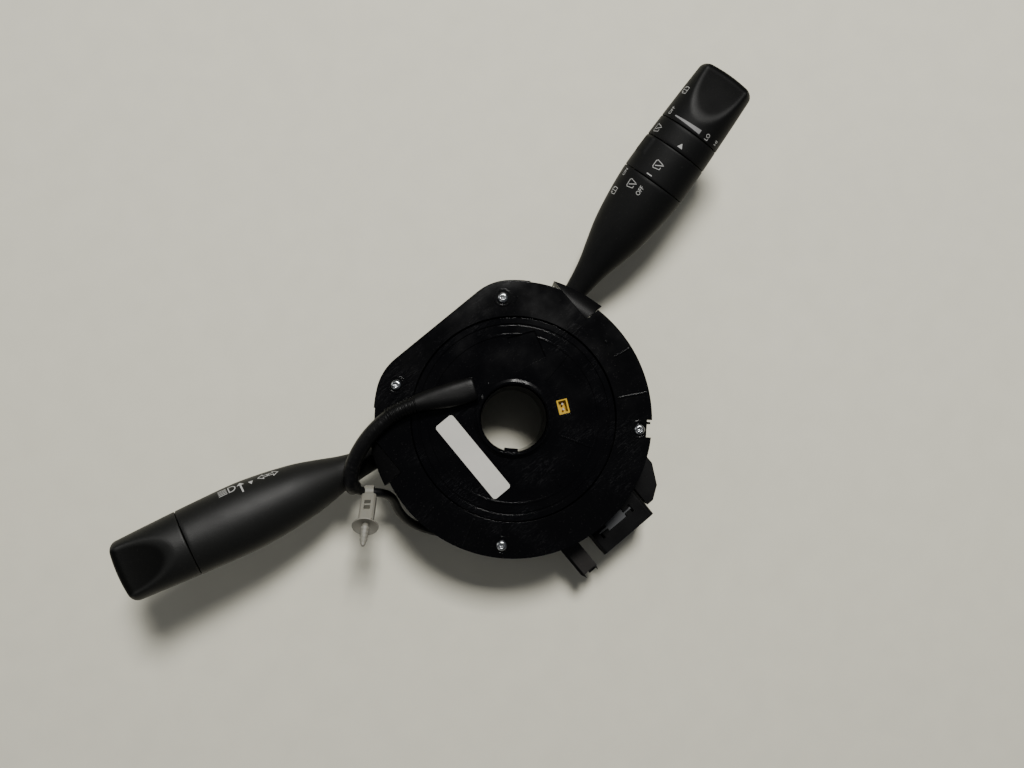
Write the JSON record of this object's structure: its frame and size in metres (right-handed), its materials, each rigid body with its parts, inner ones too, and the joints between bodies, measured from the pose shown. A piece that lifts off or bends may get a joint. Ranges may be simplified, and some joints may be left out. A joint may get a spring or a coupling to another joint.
{
  "type": "airbag clock spring",
  "caption": "Steering column module: a spiral ribbon rotor in a round carrier, with indicator and wiper levers, angle sensor gears, airbag lead and harness sockets.",
  "frame": {"origin": "on the steering axis, in the plane of the mounting bosses' ends", "axes": "+Z along the steering axis towards the driver, +Y twelve o'clock in the car, +X the driver's right"},
  "size_m": [0.3732, 0.1589, 0.0699],
  "materials": {
    "cover_gloss": "gloss moulded",
    "carrier_plastic": "semi-matt moulded",
    "hood_plastic": "satin moulded",
    "zinc_steel": "bright zinc",
    "brass": "machined",
    "board": "solder mask",
    "ribbon_film": "polyimide film",
    "terminal_plastic": "moulded",
    "lock_grey": "moulded",
    "pin_metal": "tinned",
    "header_brown": "moulded",
    "rotor_gloss": "gloss moulded",
    "natural_acetal": "moulded",
    "magnet": "sintered",
    "socket_yellow": "moulded",
    "label_film": "printed film",
    "lead_rubber": "satin rubber",
    "lead_sleeving": "ribbed sleeving",
    "cable_jacket": "satin jacket",
    "natural_nylon": "translucent moulding",
    "pin_steel": "ground",
    "arm_plastic": "glass-filled moulding",
    "lever_charcoal": "fine grain",
    "lever_black": "fine grain"
  },
  "bodies": {
    "carrier": {"rear_housing": "carrier_plastic", "rear_cover": "carrier_plastic", "rear_cover_screws": "zinc_steel", "front_cover": "cover_gloss", "front_cover_screws": "zinc_steel", "chamber_floor": "carrier_plastic", "ribbon_cable": "ribbon_film", "ribbon_terminal_outer": "terminal_plastic", "control_board": "board", "header_shell": "carrier_plastic", "header_pins": "pin_metal", "header_lock": "lock_grey", "squib_header": "header_brown", "squib_pins": "pin_metal", "mount_inserts": "brass", "left_switch_case": "carrier_plastic", "right_switch_case": "carrier_plastic", "left_root_hood": "hood_plastic", "right_root_hood": "hood_plastic", "left_pivot_pin": "pin_steel", "right_pivot_pin": "pin_steel"},
    "rotor": {"rotor_disc": "rotor_gloss", "rotor_hub": "rotor_gloss", "rotor_gear": "natural_acetal", "cancel_cam": "natural_acetal", "ribbon_terminal_inner": "terminal_plastic", "airbag_socket": "socket_yellow", "socket_pins": "pin_metal", "label_plate": "label_film", "lead_boot": "lead_rubber", "lead_sleeve": "lead_sleeving", "lead_cable": "cable_jacket", "cable_clip": "natural_nylon", "lead_plug": "terminal_plastic"},
    "sensor_wheel_a": {"sensor_gear_a": "natural_acetal", "magnet_a": "magnet"},
    "sensor_wheel_b": {"sensor_gear_b": "natural_acetal", "magnet_b": "magnet"},
    "left_yoke": {"left_holder": "natural_acetal", "left_cross_pin": "pin_steel", "left_return_spring": "pin_steel"},
    "left_lever": {"left_arm": "arm_plastic", "left_stalk_shell": "lever_charcoal", "left_stalk_cap": "lever_charcoal"},
    "right_yoke": {"right_holder": "natural_acetal", "right_cross_pin": "pin_steel", "right_return_spring": "pin_steel"},
    "right_lever": {"right_arm": "arm_plastic", "right_stalk_base": "lever_black", "wiper_collar": "lever_black"},
    "rear_wiper_switch": {"wiper_ring": "lever_black"},
    "front_wiper_switch": {"wiper_knob": "lever_black"}
  },
  "joints": [
    {"name": "rotor_spin", "type": "hinge", "parent": "carrier", "child": "rotor", "pos_m": [0, 0, 0.0455], "axis": [0, 0, 1], "range_deg": [-1080, 1080], "deforming": ["lead_sleeve", "lead_cable", "cable_clip", "lead_plug"]},
    {"name": "sensor_a_spin", "type": "hinge", "parent": "carrier", "child": "sensor_wheel_a", "pos_m": [0.0166, -0.02875, 0.007], "axis": [0, 0, 1], "range_deg": [-2880, 2880]},
    {"name": "sensor_b_spin", "type": "hinge", "parent": "carrier", "child": "sensor_wheel_b", "pos_m": [-0.0162, -0.02806, 0.007], "axis": [0, 0, 1], "range_deg": [-3150, 3150]},
    {"name": "left_turn_signal", "type": "hinge", "parent": "carrier", "child": "left_yoke", "pos_m": [-0.03577, 0.02189, 0.0225], "axis": [0, 0, 1], "range_deg": [-7, 7]},
    {"name": "left_flash", "type": "hinge", "parent": "left_yoke", "child": "left_lever", "pos_m": [-0.044, 0.024, 0.0225], "axis": [0.2487, 0.9686, 0], "range_deg": [-4, 5], "stiffness_Nm_per_rad": 4},
    {"name": "right_mist", "type": "hinge", "parent": "carrier", "child": "right_yoke", "pos_m": [0.03577, 0.02189, 0.0225], "axis": [0, 0, 1], "range_deg": [0, 7], "stiffness_Nm_per_rad": 3},
    {"name": "right_wash", "type": "hinge", "parent": "right_yoke", "child": "right_lever", "pos_m": [0.044, 0.024, 0.0225], "axis": [0.2487, -0.9686, 0], "range_deg": [0, 5], "stiffness_Nm_per_rad": 4},
    {"name": "rear_wiper_turn", "type": "hinge", "parent": "right_lever", "child": "rear_wiper_switch", "pos_m": [0.13542, 0.04747, 0.04872], "axis": [0.9253, 0.2376, 0.2957], "range_deg": [-20, 20]},
    {"name": "front_wiper_turn", "type": "hinge", "parent": "right_lever", "child": "front_wiper_switch", "pos_m": [0.16799, 0.05583, 0.05912], "axis": [0.9253, 0.2376, 0.2957], "range_deg": [-50, 40]}
  ],
  "couplings": [
    {"joint": "sensor_a_spin", "follows": "rotor_spin", "ratio": -2.6087},
    {"joint": "sensor_b_spin", "follows": "rotor_spin", "ratio": -2.8571}
  ]
}
